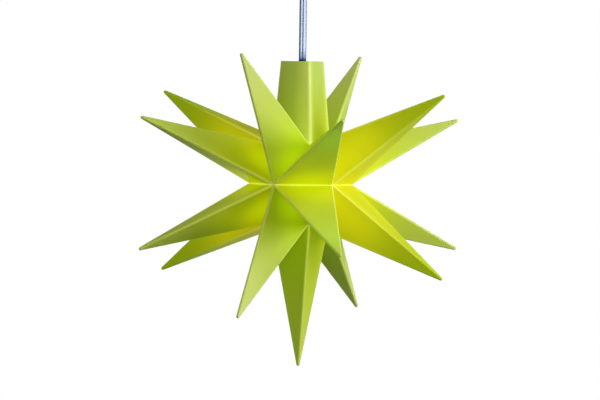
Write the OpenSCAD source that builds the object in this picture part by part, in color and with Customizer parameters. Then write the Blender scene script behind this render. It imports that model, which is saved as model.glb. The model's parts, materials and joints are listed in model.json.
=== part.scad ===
// Small moravian star light: a hollow seventeen-pointed plastic star with a square neck,
// hung on a clear flat twin flex from a ceiling cup. A slim lamp stands in the neck and
// glows in the middle of the star. Millimetres, Z up, origin on the ceiling.

/* [Points] */
// Distance from the middle of the star to the end of each point
point_reach = 65; // [60:0.5:72]
// Rise of the four steep points, in degrees from level
steep_rise = 44.8; // [43:0.1:47]
// Rise of the four broad points, in degrees from level
broad_rise = 29.8; // [28:0.1:32]
// Rise of the eight flat points, in degrees from level
flat_rise = 21; // [19:0.1:23]
// Turn of each flat point from the steep point beside it, in degrees
flat_turn = 41; // [39:0.1:43]
// Rounding of the ridges and of the ends of the points
ridge_round = 0.6; // [0.4:0.05:0.7]

/* [Middle of the star] */
// Distance from the axis to the two belt corners below the steep points
belt_far = 21.7; // [21:0.1:23]
// Distance from the axis to the four belt corners beside the broad points
belt_near = 18.7; // [18:0.1:19.5]
// Turn of those four corners from the broad points, in degrees
belt_turn = 24; // [22:0.5:26]
// Distance from the axis to the four corners of the square roof
roof_corner = 11; // [10.5:0.1:11.5]
// Height of the square roof above the belt
roof_height = 14.4; // [13.5:0.1:15.5]
// Thickness of the moulded walls
wall = 0.9; // [0.7:0.05:1.1]
// Height of the locating lip above the seam
lip_height = 1.2; // [0.8:0.1:1.6]
// Thickness of the locating lip
lip_wall = 0.7; // [0.5:0.05:0.9]

/* [Neck] */
// Height of the neck's flat top above the belt
neck_height = 43.7; // [40:0.1:50]
// Distance from the axis to the corners of the neck's top
neck_corner = 8.3; // [7.8:0.1:8.6]
// Rounding of the neck's upright edges
neck_round = 0.8; // [0.5:0.05:1.2]
// Height of the guide ring in the neck
collar_height = 6; // [5:0.1:9]

/* [Lamp] */
// Outer diameter of the lamp's barrel
barrel_d = 6.8; // [6.6:0.05:7]
// Inner diameter of the barrel
barrel_inner_d = 5.4; // [5.3:0.05:5.5]
// Height of the barrel's lower end above the belt
barrel_end = 5; // [2:0.5:8]
// Diameter of the cap's flange
flange_d = 7.9; // [7.7:0.05:8]
// Thickness of the cap's flange
flange_t = 1.2; // [1:0.1:1.6]
// Length of the cap's plug inside the barrel
plug_length = 5; // [4:0.5:7]
// Diameter of the cap's cord hole
cord_hole_d = 3; // [2.9:0.05:3.2]
// Depth of the rubber ring's centre below the top of the neck
ring_depth = 3.2; // [2.6:0.1:4.2]
// Height of the rubber ring
ring_height = 1; // [0.8:0.1:1.4]
// Thickness of the rubber ring
ring_t = 0.35; // [0.25:0.05:0.4]
// Diameter of the round lamp
led_d = 5; // [4.8:0.05:5]
// Diameter of the rim at the foot of the round lamp
led_rim_d = 5.8; // [5.6:0.05:5.9]
// Length of the round lamp from its rim to its end
led_length = 8.6; // [8:0.1:9]
// Spacing of the lamp's two legs
leg_spacing = 2.54; // [2.4:0.02:2.6]
// Length of the legs above the lamp
leg_length = 8; // [6:0.5:10]

/* [Flex] */
// Radius of each half of the flat twin flex
half_r = 0.72; // [0.65:0.01:0.75]
// Distance between the centres of its halves
half_spacing = 1.26; // [1.2:0.02:1.3]
// Diameter of each insulated core inside the flex
core_d = 0.8; // [0.6:0.05:0.9]
// Turn of the flex's flat side from the X axis, in degrees
flex_turn = 28; // [0:1:45]
// Length of the ferrule that grips the flex below the cap
ferrule_length = 4; // [3:0.5:6]
// Outer diameter of that ferrule
ferrule_d = 4.6; // [4.2:0.1:5]

/* [Ceiling cup] */
// Outer diameter of the cup
cup_d = 50; // [50:1:60]
// Height of the cup
cup_height = 24; // [24:0.5:30]
// Thickness of the cup's metal
cup_wall = 1; // [0.8:0.1:1.2]
// Radius of the cup's lower edge
cup_round = 5; // [3:0.5:6]
// Gap between the cup's rim and the ceiling
cup_gap = 0.3; // [0.2:0.1:0.6]
// Gap between the fixing plate and the inside of the cup
plate_gap = 2; // [1.5:0.1:2.5]
// Thickness of the fixing plate
plate_t = 2; // [1.5:0.1:2.5]
// Distance from the plate's edge to the middle of each fixing hole
fixing_inset = 6; // [5.5:0.1:7]
// Diameter of the fixing holes
fixing_hole_d = 4.2; // [4:0.1:4.6]
// Diameter of the hole for the supply cable
cable_hole_d = 10; // [8:0.5:10.5]
// Width of the plate's bent lugs
lug_width = 8; // [7:0.5:9]
// Thickness of the plate's bent lugs
lug_t = 1.5; // [1.2:0.1:1.8]
// Height of the cup's screws below the ceiling
cup_screw_drop = 7; // [6.5:0.1:8]
// Diameter of the cup's screws
cup_screw_d = 3; // [2.5:0.1:3.4]
// Length of the cup's screws below the head
cup_screw_length = 6; // [5:0.5:6.5]

/* [Gland] */
// Diameter of the gland's threaded stem
stem_d = 10; // [9.5:0.1:10.5]
// Height of the stem above the cup's floor
stem_height = 11; // [10:0.5:12]
// Diameter of the gland's flange under the cup
gland_flange_d = 13; // [12:0.5:16]
// Thickness of that flange
gland_flange_t = 2; // [1.6:0.1:2.6]
// Diameter of the throat that the flex runs through
throat_d = 3.3; // [3.2:0.05:3.6]
// Height of the flared mouth below the flange
flare_height = 4; // [3:0.5:5]
// Half angle of the flared mouth, in degrees
flare_angle = 30; // [28:1:33]
// Thickness of the rounded lip at the end of the mouth
gland_lip_t = 0.9; // [0.7:0.1:1.2]
// Height of the gland's nut
nut_height = 3.5; // [3:0.1:4]
// Width of the nut across its flats
nut_flats = 14; // [13:0.5:15]
// Diameter of the nylon screw that grips the flex
grip_screw_d = 3; // [2.6:0.1:3.2]

/* [Connector block] */
// Distance between the two poles
pole_spacing = 8; // [8:0.5:9]
// Width of each pole's housing
pole_width = 6.4; // [6:0.1:6.8]
// Length of the block along its poles
block_length = 12; // [11:0.5:13]
// Height of the block below the plate
block_height = 10; // [9.5:0.1:10.5]
// Distance from the axis to the middle of the block
block_offset = 12.5; // [12:0.1:13]
// Outer diameter of the brass sleeves
sleeve_d = 4.2; // [4:0.1:4.4]
// Bore of the brass sleeves
sleeve_bore_d = 2.6; // [2.4:0.1:2.8]
// Diameter of the clamping screws
clamp_screw_d = 2.4; // [2:0.1:2.5]
// Diameter of the screw that holds the block
block_screw_d = 2.5; // [2:0.1:2.6]

/* [Hidden] */
$fn = 48;
// Running fit between the barrel and the guide ring, on the radius
slide_fit = 0.05;
// Gap left between pieces that only locate each other
locate_gap = 0.1;
// Gap left between a screw or a pressed piece and its hole, on the radius
seat_fit = 0.03;
// Gap between the flange of the cap and its seat in the guide ring
flange_gap = 0.05;
// How far the foot of the locating lip runs into the wall that carries it
lip_bite = 0.2;
// Depth of the relief between the seam and the foot of the locating lip
lip_relief = 0.15;
// Facets of the small balls that round the ridges
ridge_fn = 24;
// Height of the upright band round the middle body, which the seam runs through
belt_band = 0.1;
// How far the body's own corners stay below the corners where the points meet
core_sink = 0.6;
// How far the cavity's corners stay below those corners, so that the walls hold there
cavity_sink = 1.4 * wall;
// A length beyond every cut
beyond = 100;

// Heights of the hanging flex below its upper end, chosen by hand
flex_steps = [0, 6, 12, 18, 24, 30, 34];
// Gap between the upper end of the hanging flex and the bend point in the gland
bend_gap = 0.3;
// How far the neck's foot runs down inside the roof, and how far its hollow does
neck_root = 3;
neck_hollow_root = 6;
// Stretch of flex above the stem of the gland, and below the ferrule in the lamp
flex_above_stem = 2;
flex_below_ferrule = 2;
// Depth of the gripping screw below the top of the stem
grip_drop = 2.6;
// Overlap of each solder joint's sleeve with the leg below it and the core above it
sleeve_on_leg = 3;
sleeve_on_core = 4;
// Bare lead between the right-hand sleeve and the resistor, and above the resistor
lead_below = 2;
lead_above = 1;
// Height of the lamp's rim inside the mouth of the barrel
rim_recess = 1;
bend_z = -cup_height - gland_flange_t;
flex_top = bend_z - bend_gap;
neck_top = flex_top - flex_steps[len(flex_steps) - 1];
// Height of the middle of the star, where the two shells meet
belt_z = neck_top - neck_height;

// Levels inside the star, measured from the belt
flange_z = neck_height - flange_t;
plug_z = flange_z - plug_length;
ferrule_z = plug_z - ferrule_length;
flex_end_z = ferrule_z - flex_below_ferrule;
led_top = barrel_end + rim_recess;
leg_top = led_top + leg_length;
sleeve_low = leg_top - sleeve_on_leg;
sleeve_high = leg_top + sleeve_on_core;
resistor_low = sleeve_high + lead_below;
resistor_length = 3.4;
resistor_d = 1.8;
lead_d = 0.5;
shrink_d = 1.9;

neck_spread = (roof_corner - neck_corner) / (neck_height - roof_height);
barrel_r = barrel_d / 2;
bore_r = barrel_r + slide_fit;

plate_d = cup_d - 2 * cup_wall - 2 * plate_gap;
fixing_spacing = plate_d - 2 * fixing_inset;
floor_z = -cup_height + cup_wall;
stem_top = floor_z + stem_height;
tail_top = stem_top + flex_above_stem;
grip_z = stem_top - grip_drop;
// Depth of the brass sleeves' centres below the plate
pole_drop = 4;
pole_z = -plate_t - pole_drop;
block_screw_head_d = 1.2 * block_screw_d;

function unit(v) = v / norm(v);
function turned(r, turn, z) = [r * sin(turn), -r * cos(turn), z];
function aim(turn, rise) = turned(cos(rise), turn, sin(rise));
function far_corner(side) = turned(belt_far, side, 0);
function near_corner(turn) = turned(belt_near, turn, 0);
function roof(turn) = turned(roof_corner, turn, roof_height);
// A corner drawn in towards the middle of the star by a length
function drawn_in(p, by) = p * (1 - by / norm(p));

// Each point of the upper half: its direction, then the corners of its foot in order
steep_points = [for (side = [0, 180])
    [aim(side, steep_rise), [far_corner(side), roof(side + 45), roof(side - 45)]]];
broad_points = [for (side = [90, 270])
    [aim(side, broad_rise), [near_corner(side - belt_turn), near_corner(side + belt_turn),
                             roof(side + 45), roof(side - 45)]]];
flat_points = [for (side = [0, 180], hand = [-1, 1])
    [aim(side + hand * flat_turn, flat_rise),
     [far_corner(side), near_corner(side + hand * (90 - belt_turn)), roof(side + hand * 45)]]];
half_points = concat(steep_points, broad_points, flat_points);
hanging_point = [[0, 0, 1], [for (side = [45:90:315]) roof(side)]];

belt_corners = [
    far_corner(0), near_corner(90 - belt_turn), near_corner(90 + belt_turn),
    far_corner(180), near_corner(270 - belt_turn), near_corner(270 + belt_turn)
];
roof_corners = [for (side = [45:90:315]) roof(side)];

// How fast one side of a point draws in towards its tip: the sine of its slope
function side_sine(tip, p, q) = abs(unit(cross(p - tip, q - tip)) * unit(tip));
function mean_sine(tip, foot) =
    let (n = len(foot), sines = [for (i = [0:n - 1]) side_sine(tip, foot[i], foot[(i + 1) % n])])
    (sines * [for (i = [0:n - 1]) 1]) / n;
// Distance along a point that its sides need to move in by a depth
function set_back(aimed, foot, depth) = depth / mean_sine(aimed * (point_reach + 2), foot);

// A solid point with rounded ridges and a rounded end
module rounded_point(p) {
    back = set_back(p[0], p[1], ridge_round);
    hull() {
        translate(p[0] * (point_reach - ridge_round)) sphere(ridge_round, $fn = ridge_fn);
        for (corner = p[1])
            translate(corner - p[0] * back) sphere(ridge_round, $fn = ridge_fn);
    }
}

// The hollow inside a point, one wall inside its sides
module point_hollow(p) {
    over = set_back(p[0], p[1], ridge_round) - ridge_round;
    back = set_back(p[0], p[1], wall);
    tip = p[0] * (point_reach + over - back);
    spanned(concat([tip], [for (corner = p[1]) corner - p[0] * back]));
}

// The solid that spans a list of corners
module spanned(corners) {
    last = len(corners) - 1;
    hull()
        polyhedron(corners, [for (i = [0:last]) [i, (i + 1) % (last + 1), (i + 2) % (last + 1)]]);
}

// The body that the points stand on, with its corners drawn in by a depth
module middle_body(depth) {
    half = [for (p = concat(belt_corners, roof_corners)) drawn_in(p, depth) + [0, 0, belt_band / 2]];
    spanned(concat(half, [for (p = half) [p[0], p[1], -p[2]]]));
}

// How far the neck's corners stand from the axis at a height, one inset inside its sides
function neck_reach(z, inset) = neck_corner + (neck_height - z) * neck_spread - inset * sqrt(2);

// The neck as a solid block with rounded upright edges
module neck_block(low) {
    slice = 0.01;
    hull()
        for (z = [low, neck_height - slice], side = [45:90:315])
            translate(turned(neck_reach(z, neck_round), side, z))
                cylinder(h = slice, r = neck_round, $fn = 24);
}

// A sharp-edged block inside the neck, one inset inside its sides
module neck_hollow(low, high, inset) {
    spanned([for (z = [low, high], side = [45:90:315]) turned(neck_reach(z, inset), side, z)]);
}

module above_belt() {
    translate([-beyond, -beyond, 0]) cube([2 * beyond, 2 * beyond, beyond]);
}

// One half of the star as if it were solid, and the hollow inside it
module half_solid(points) {
    intersection() {
        union() {
            middle_body(core_sink);
            for (p = points)
                rounded_point(p);
        }
        above_belt();
    }
}

module half_hollow(points) {
    middle_body(cavity_sink);
    for (p = points)
        point_hollow(p);
}

module upper_shell() {
    color("yellowgreen")
        translate([0, 0, belt_z])
            difference() {
                union() {
                    half_solid(half_points);
                    neck_block(roof_height - neck_root);
                }
                half_hollow(half_points);
                neck_hollow(roof_height - neck_hollow_root, neck_height + 1, wall);
            }
}

// The part of the middle body between two heights, one depth inside it and hollow inside another
module belt_ring(low, high, outside, inside) {
    intersection() {
        difference() {
            middle_body(outside);
            middle_body(inside);
        }
        translate([-beyond, -beyond, low]) cube([2 * beyond, 2 * beyond, high - low]);
    }
}

module lower_shell() {
    all_points = concat(half_points, [hanging_point]);
    lip_outside = cavity_sink + locate_gap;
    lip_inside = lip_outside + lip_wall;
    color("yellowgreen")
        translate([0, 0, belt_z]) {
            mirror([0, 0, 1])
                difference() {
                    half_solid(all_points);
                    half_hollow(all_points);
                }
            belt_ring(-lip_height, lip_height, lip_outside, lip_inside);
            belt_ring(-lip_height, -lip_relief, cavity_sink - lip_bite, lip_inside);
        }
}

module neck_collar() {
    color("whitesmoke")
        translate([0, 0, belt_z])
            difference() {
                neck_hollow(neck_height - collar_height, neck_height, wall + seat_fit);
                translate([0, 0, neck_height - collar_height - 1])
                    cylinder(h = collar_height + 2, r = bore_r);
                translate([0, 0, flange_z - flange_gap])
                    cylinder(h = flange_t + 1, d = flange_d + 2 * locate_gap);
            }
}

// Cross-section of the flat twin flex, grown by a gap where it is cut into another piece
module flex_section(gap = 0) {
    for (side = [-1, 1])
        translate([side * half_spacing / 2, 0]) circle(half_r + gap);
    square([half_spacing, half_r + 2 * gap], center = true);
}

// Its outline as points, from the groove round one half and then round the other
function flex_outline(steps = 8) =
    let (start = acos(-half_spacing / 2 / half_r))
    [for (side = [0, 1], i = [0:steps - 1])
        let (turn = -start + 2 * start * i / steps + side * 180, centre = side == 0 ? 1 : -1)
        [centre * half_spacing / 2 + half_r * cos(turn), half_r * sin(turn)]];
function round_outline(d, steps = 8) =
    [for (i = [0:steps - 1]) d / 2 * [cos(i * 360 / steps), sin(i * 360 / steps)]];

function heading(route, i) = unit(route[min(i + 1, len(route) - 1)] - route[max(i - 1, 0)]);
function ring(route, i, outline, across) =
    let (ahead = heading(route, i), side = unit(across - ahead * (across * ahead)), up = cross(ahead, side))
    [for (p = outline) route[i] + side * p[0] + up * p[1]];

// One closed tube along a route of points, with its outline's first axis kept along across
module tube(route, outline, across = [1, 0, 0]) {
    n = len(outline);
    last = len(route) - 1;
    points = [for (i = [0:last]) each ring(route, i, outline, across)];
    sides = [for (i = [0:last - 1], j = [0:n - 1])
        [i * n + j, (i + 1) * n + j, (i + 1) * n + (j + 1) % n, i * n + (j + 1) % n]];
    ends = [[for (j = [0:n - 1]) j], [for (j = [n - 1:-1:0]) last * n + j]];
    polyhedron(points, concat(sides, ends));
}

flex_side = [cos(flex_turn), sin(flex_turn), 0];

module pendant_cord() {
    color("lightsteelblue")
        tube([for (step = flex_steps) [0, 0, flex_top - step]], flex_outline(), flex_side);
}

module cord_tail() {
    color("lightsteelblue")
        tube([[0, 0, bend_z + bend_gap], [0, 0, (bend_z + tail_top) / 2], [0, 0, tail_top]],
            flex_outline(), flex_side);
}

// The two cores from the top of the flex, over into the near ends of the brass sleeves
module tail_cores() {
    for (side = [-1, 1]) {
        start = side * half_spacing / 2 * flex_side;
        pole = side * pole_spacing / 2;
        color(side < 0 ? "sienna" : "royalblue")
            tube([
                [start[0], start[1], tail_top],
                [start[0], start[1], tail_top + 1.5],
                [start[0] + side * 0.5, 1.5, pole_z - 1.5],
                [pole * 0.7, 3, pole_z - 0.5],
                [pole, 4.5, pole_z],
                [pole, block_offset - block_length / 2 + 3, pole_z]
            ], round_outline(core_d));
    }
}

module cord_end() {
    color("lightsteelblue")
        translate([0, 0, belt_z])
            tube([[0, 0, neck_height], [0, 0, plug_z], [0, 0, flex_end_z]], flex_outline(), flex_side);
}

// Everything inside the lamp is lined up with the flat side of the flex
module in_lamp() {
    translate([0, 0, belt_z]) rotate([0, 0, flex_turn]) children();
}

module cord_cores() {
    in_lamp()
        for (side = [-1, 1])
            color(side < 0 ? "sienna" : "royalblue")
                tube([
                    [side * half_spacing / 2, 0, flex_end_z],
                    [side * half_spacing / 2, 0, flex_end_z - 0.8],
                    [side * leg_spacing / 2, 0, flex_end_z - 2.4],
                    [side * leg_spacing / 2, 0, side < 0 ? leg_top : resistor_low + resistor_length + lead_above]
                ], round_outline(core_d));
}

// A resistor: a straight body with a bulge near each end, and its two leads
module resistor() {
    body_r = 0.7;
    end_bulge = 0.6;
    in_lamp()
        translate([leg_spacing / 2, 0, 0]) {
            color("tan")
                translate([0, 0, resistor_low])
                    rotate_extrude()
                        union() {
                            square([body_r, resistor_length]);
                            for (z = [end_bulge, resistor_length - end_bulge])
                                translate([body_r, z]) circle(resistor_d / 2 - body_r, $fn = 24);
                        }
            color("silver") {
                translate([0, 0, resistor_low + resistor_length])
                    cylinder(h = lead_above, d = lead_d);
                translate([0, 0, leg_top])
                    cylinder(h = resistor_low - leg_top, d = lead_d);
            }
        }
}

module shrink_sleeves() {
    color("dimgray")
        in_lamp()
            for (side = [-1, 1])
                translate([side * leg_spacing / 2, 0, sleeve_low])
                    difference() {
                        cylinder(h = sleeve_high - sleeve_low, d = shrink_d);
                        translate([0, 0, -1])
                            cylinder(h = sleeve_high - sleeve_low + 2, d = core_d + 2 * seat_fit);
                    }
}

module led_legs() {
    color("silver")
        in_lamp()
            for (side = [-1, 1])
                translate([side * leg_spacing / 2, 0, led_top + leg_length / 2])
                    cube([lead_d, lead_d, leg_length], center = true);
}

// A round lamp that looks down: a rim, a straight body and a domed end
module led() {
    dome = led_d / 2;
    color("lightyellow")
        in_lamp()
            translate([0, 0, led_top])
                mirror([0, 0, 1])
                    rotate_extrude()
                        union() {
                            square([led_rim_d / 2, 1]);
                            square([dome, led_length - dome]);
                            intersection() {
                                translate([0, led_length - dome]) circle(dome);
                                square([dome, led_length]);
                            }
                        }
}

module holder_barrel() {
    height = flange_z - barrel_end;
    color("white")
        translate([0, 0, belt_z + barrel_end])
            difference() {
                cylinder(h = height, r = barrel_r);
                translate([0, 0, -1]) cylinder(h = height + 2, d = barrel_inner_d);
                translate([0, 0, -1]) cylinder(h = 2 + locate_gap, d = led_rim_d + 2 * locate_gap);
                translate([0, 0, neck_height - ring_depth - barrel_end - ring_height / 2])
                    difference() {
                        cylinder(h = ring_height, r = barrel_r + 1);
                        translate([0, 0, -1]) cylinder(h = ring_height + 2, r = barrel_r - ring_t);
                    }
            }
}

module grip_ring() {
    bulge = slide_fit - 0.02;
    edge = 0.12;
    low = neck_height - ring_depth - ring_height / 2;
    color("dimgray")
        translate([0, 0, belt_z + low])
            rotate_extrude()
                polygon([
                    [barrel_r - ring_t, 0], [barrel_r - edge, 0], [barrel_r + bulge, edge * 2],
                    [barrel_r + bulge, ring_height - edge * 2], [barrel_r - edge, ring_height],
                    [barrel_r - ring_t, ring_height]
                ]);
}

module holder_cap() {
    plug_r = barrel_inner_d / 2 - seat_fit;
    color("white")
        translate([0, 0, belt_z])
            difference() {
                union() {
                    translate([0, 0, flange_z]) cylinder(h = flange_t, d = flange_d);
                    translate([0, 0, plug_z]) cylinder(h = plug_length + 0.5, r = plug_r);
                }
                translate([0, 0, plug_z - 1]) cylinder(h = plug_length + flange_t + 2, d = cord_hole_d);
            }
}

module cord_crimp() {
    color("silver")
        in_lamp()
            translate([0, 0, ferrule_z])
                linear_extrude(ferrule_length)
                    difference() {
                        circle(d = ferrule_d);
                        flex_section(seat_fit);
                    }
}

// A cup seen in section: the corner between its wall and its floor is rounded
module cup_section(r, height, round) {
    square([r - round, height]);
    square([r, height - round]);
    translate([r - round, height - round]) circle(round);
}

module canopy() {
    color("whitesmoke")
        difference() {
            mirror([0, 0, 1])
                rotate_extrude($fn = 96)
                    intersection() {
                        difference() {
                            cup_section(cup_d / 2, cup_height, cup_round);
                            cup_section(cup_d / 2 - cup_wall, cup_height - cup_wall, cup_round - cup_wall);
                        }
                        translate([0, cup_gap]) square([cup_d, cup_height]);
                    }
            translate([0, 0, -cup_height - 1]) cylinder(h = cup_wall + 2, d = stem_d + 2 * locate_gap);
            translate([0, 0, -cup_screw_drop])
                rotate([0, 90, 0])
                    cylinder(h = cup_d + 2, d = cup_screw_d + 2 * locate_gap, center = true);
        }
}

module ceiling_plate() {
    lug_x = plate_d / 2 - lug_t;
    color("silver")
        difference() {
            union() {
                translate([0, 0, -plate_t]) cylinder(h = plate_t, d = plate_d, $fn = 96);
                for (side = [0, 180])
                    rotate([0, 0, side])
                        translate([lug_x, 0, 0]) {
                            translate([0, -lug_width / 2, -cup_screw_drop])
                                cube([lug_t, lug_width, cup_screw_drop - plate_t / 2]);
                            translate([0, 0, -cup_screw_drop])
                                rotate([0, 90, 0]) cylinder(h = lug_t, d = lug_width);
                        }
            }
            for (side = [-1, 1])
                translate([side * fixing_spacing / 2, 0, -plate_t - 1])
                    cylinder(h = plate_t + 2, d = fixing_hole_d);
            translate([0, 0, -plate_t - 1]) cylinder(h = plate_t + 2, d = cable_hole_d);
            translate([0, block_offset, -plate_t - 1])
                cylinder(h = plate_t + 2, d = block_screw_d + 2 * seat_fit);
            translate([0, 0, -cup_screw_drop])
                rotate([0, 90, 0])
                    cylinder(h = plate_d + 2, d = cup_screw_d + 2 * seat_fit, center = true);
        }
}

// A screw along Z with its head above the origin and a slot across the head
module slotted_screw(shank_d, length, head_d, head_t) {
    slot_w = head_d / 6;
    difference() {
        union() {
            translate([0, 0, -length]) cylinder(h = length + 0.1, d = shank_d);
            intersection() {
                cylinder(h = head_t, d = head_d);
                translate([0, 0, head_t - head_d]) sphere(head_d);
            }
        }
        translate([-head_d, -slot_w / 2, head_t / 2]) cube([2 * head_d, slot_w, head_t]);
    }
}

module canopy_screws() {
    head_grow = 1.9;
    head_t = 1.5;
    color("silver")
        for (side = [0, 180])
            rotate([0, 0, side])
                translate([cup_d / 2, 0, -cup_screw_drop])
                    rotate([0, 90, 0])
                        slotted_screw(cup_screw_d, cup_screw_length, cup_screw_d * head_grow, head_t);
}

module at_block() {
    translate([0, block_offset, -plate_t]) children();
}

// Places of the four clamping screws: two on each pole
module at_clamps() {
    for (side = [-1, 1], end = [-1, 1])
        translate([side * pole_spacing / 2, end * block_length / 4, 0]) children();
}

module terminal_block() {
    tower_wall = 1.2;
    color("white")
        at_block()
            difference() {
                union() {
                    for (side = [-1, 1])
                        translate([side * pole_spacing / 2, 0, -pole_drop])
                            rotate([90, 0, 0]) {
                                cylinder(h = block_length, d = pole_width, center = true);
                                translate([0, pole_drop / 2, 0])
                                    cube([pole_width, pole_drop, block_length], center = true);
                            }
                    translate([0, 0, -pole_drop / 2])
                        cube([pole_spacing, block_length * 0.8, pole_drop], center = true);
                    at_clamps()
                        translate([0, 0, -block_height])
                            cylinder(h = block_height - 1, d = clamp_screw_d + 2 * tower_wall);
                }
                for (side = [-1, 1])
                    translate([side * pole_spacing / 2, 0, -pole_drop])
                        rotate([90, 0, 0])
                            cylinder(h = block_length + 2, d = sleeve_d + 2 * seat_fit, center = true);
                at_clamps()
                    translate([0, 0, -block_height - 1])
                        cylinder(h = block_height - pole_drop + 1, d = clamp_screw_d + 2 * locate_gap);
                translate([0, 0, -block_height])
                    cylinder(h = block_height + 1, d = block_screw_d + 2 * locate_gap);
                translate([0, 0, -block_height])
                    cylinder(h = block_height - pole_drop, d = block_screw_head_d + 2 * locate_gap);
            }
}

module terminal_sleeves() {
    color("goldenrod")
        at_block()
            difference() {
                for (side = [-1, 1])
                    translate([side * pole_spacing / 2, 0, -pole_drop])
                        rotate([90, 0, 0])
                            difference() {
                                cylinder(h = block_length - 1, d = sleeve_d, center = true);
                                cylinder(h = block_length + 2, d = sleeve_bore_d, center = true);
                            }
                at_clamps()
                    translate([0, 0, -block_height])
                        cylinder(h = block_height - pole_drop, d = clamp_screw_d + 2 * seat_fit);
            }
}

module terminal_screws() {
    tip = pole_drop + core_d / 2 + locate_gap;
    sunk = 0.8;
    slot_w = 0.4;
    slot_depth = 0.6;
    color("silver")
        at_block()
            at_clamps()
                translate([0, 0, -block_height + sunk])
                    difference() {
                        cylinder(h = block_height - sunk - tip, d = clamp_screw_d);
                        translate([-clamp_screw_d, -slot_w / 2, -1])
                            cube([2 * clamp_screw_d, slot_w, 1 + slot_depth]);
                    }
}

module block_screw() {
    head_t = 1;
    color("silver")
        at_block()
            translate([0, 0, -pole_drop])
                mirror([0, 0, 1])
                    slotted_screw(block_screw_d, pole_drop + plate_t, block_screw_head_d, head_t);
}

// A ring of round section about the axis, which rounds an edge
module bead(place, r) {
    rotate_extrude() translate(place) circle(r);
}

// A threaded stem, a round-edged flange and a mouth that flares to a rounded lip
module cord_grip() {
    throat_r = throat_d / 2;
    edge = gland_flange_t / 2;
    flange_r = gland_flange_d / 2 - edge;
    lip = gland_lip_t / 2;
    flare = flare_height - lip * (1 - sin(flare_angle));
    flare_end = [throat_r + flare * tan(flare_angle), bend_z - flare];
    lip_middle = flare_end + lip * [cos(flare_angle), sin(flare_angle)];
    color("white")
        difference() {
            union() {
                rotate_extrude()
                    polygon([
                        [throat_r, stem_top], [stem_d / 2, stem_top],
                        [stem_d / 2, bend_z + gland_flange_t], [flange_r, bend_z + gland_flange_t],
                        [flange_r, bend_z], lip_middle + [lip, 0], lip_middle, flare_end,
                        [throat_r, bend_z]
                    ]);
                bead([flange_r, bend_z + edge], edge);
                bead(lip_middle, lip);
            }
            translate([0, 0, grip_z])
                rotate([90, 0, flex_turn])
                    cylinder(h = stem_d, d = grip_screw_d + 2 * seat_fit);
        }
}

module grip_nut() {
    color("white")
        translate([0, 0, floor_z])
            difference() {
                cylinder(h = nut_height, d = nut_flats / cos(30), $fn = 6);
                translate([0, 0, -1]) cylinder(h = nut_height + 2, d = stem_d + 2 * seat_fit);
            }
}

module grip_screw() {
    reach = half_r + seat_fit;
    head = stem_d / 2 + 0.6;
    color("white")
        translate([0, 0, grip_z])
            rotate([90, 0, flex_turn])
                translate([0, 0, head])
                    slotted_screw(grip_screw_d, head - reach, grip_screw_d * 1.6, 1.6);
}

ceiling_plate();
canopy();
canopy_screws();
terminal_block();
terminal_sleeves();
terminal_screws();
block_screw();
cord_grip();
grip_nut();
grip_screw();
cord_tail();
tail_cores();
pendant_cord();
holder_cap();
holder_barrel();
grip_ring();
cord_crimp();
cord_end();
cord_cores();
resistor();
shrink_sleeves();
led_legs();
led();
neck_collar();
upper_shell();
lower_shell();
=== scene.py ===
import json
import math

import bpy
from mathutils import Matrix, Vector


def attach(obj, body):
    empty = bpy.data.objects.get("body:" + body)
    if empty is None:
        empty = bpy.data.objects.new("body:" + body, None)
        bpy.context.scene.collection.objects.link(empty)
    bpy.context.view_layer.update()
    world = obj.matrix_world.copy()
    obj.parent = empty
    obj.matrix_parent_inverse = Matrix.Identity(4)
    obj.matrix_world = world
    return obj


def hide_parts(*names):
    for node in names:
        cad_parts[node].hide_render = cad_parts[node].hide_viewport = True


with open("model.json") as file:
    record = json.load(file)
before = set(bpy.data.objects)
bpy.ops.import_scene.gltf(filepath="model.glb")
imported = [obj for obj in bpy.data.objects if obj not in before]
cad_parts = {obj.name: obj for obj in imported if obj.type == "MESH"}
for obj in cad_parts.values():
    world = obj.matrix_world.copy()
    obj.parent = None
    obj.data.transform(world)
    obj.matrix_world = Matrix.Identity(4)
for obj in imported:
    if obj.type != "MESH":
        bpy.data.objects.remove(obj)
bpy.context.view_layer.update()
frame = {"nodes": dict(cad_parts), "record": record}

scene = bpy.context.scene
scene.view_settings.view_transform = "Standard"

MM = 0.001
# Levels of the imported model, in millimetres: the ends of the hanging flex, and the belt, which is
# the middle of the star
FLEX_TOP = -26.3
FLEX_END = -60.3
BELT_Z = -104.0


def mm(*values):
    """A point or a size given in millimetres, in metres."""
    return Vector(values) * MM


def rgb(code):
    """An sRGB hex colour as the linear colour that the sockets take."""
    parts = [int(code[i:i + 2], 16) / 255 for i in (1, 3, 5)]
    return [c / 12.92 if c <= 0.04045 else ((c + 0.055) / 1.055) ** 2.4 for c in parts] + [1.0]


def add(tree, kind, links=None, stops=(), **settings):
    """Adds a node: links are the values or sources of its inputs, stops the places and sRGB colours
    of a colour ramp, and settings its own properties."""
    made = tree.nodes.new(kind)
    for name, value in settings.items():
        setattr(made, name, value)
    for _ in stops[2:]:
        made.color_ramp.elements.new(0.5)
    for i, (at, colour) in enumerate(stops):
        element = made.color_ramp.elements[i]
        element.position = at
        element.color = rgb(colour)
    for key, value in (links or {}).items():
        several = isinstance(value, list) and isinstance(value[0], bpy.types.NodeSocket)
        for source in value if several else [value]:
            if isinstance(source, bpy.types.NodeSocket):
                tree.links.new(source, made.inputs[key])
            else:
                made.inputs[key].default_value = source
    return made


def new_material(name):
    made = bpy.data.materials.new(name)
    made.use_nodes = True
    made.node_tree.nodes.clear()
    return made, made.node_tree


def noise_scale(size):
    """Noise scale at which one blob is about this many millimetres wide."""
    return 1 / (size * MM)


# Camera: the photograph's long lens, a little above level, turned to the front right corner

CAMERA_TURN = math.radians(27.5)
CAMERA_RISE = math.radians(1.37)
CAMERA_ROLL = math.radians(0.84)
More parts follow.
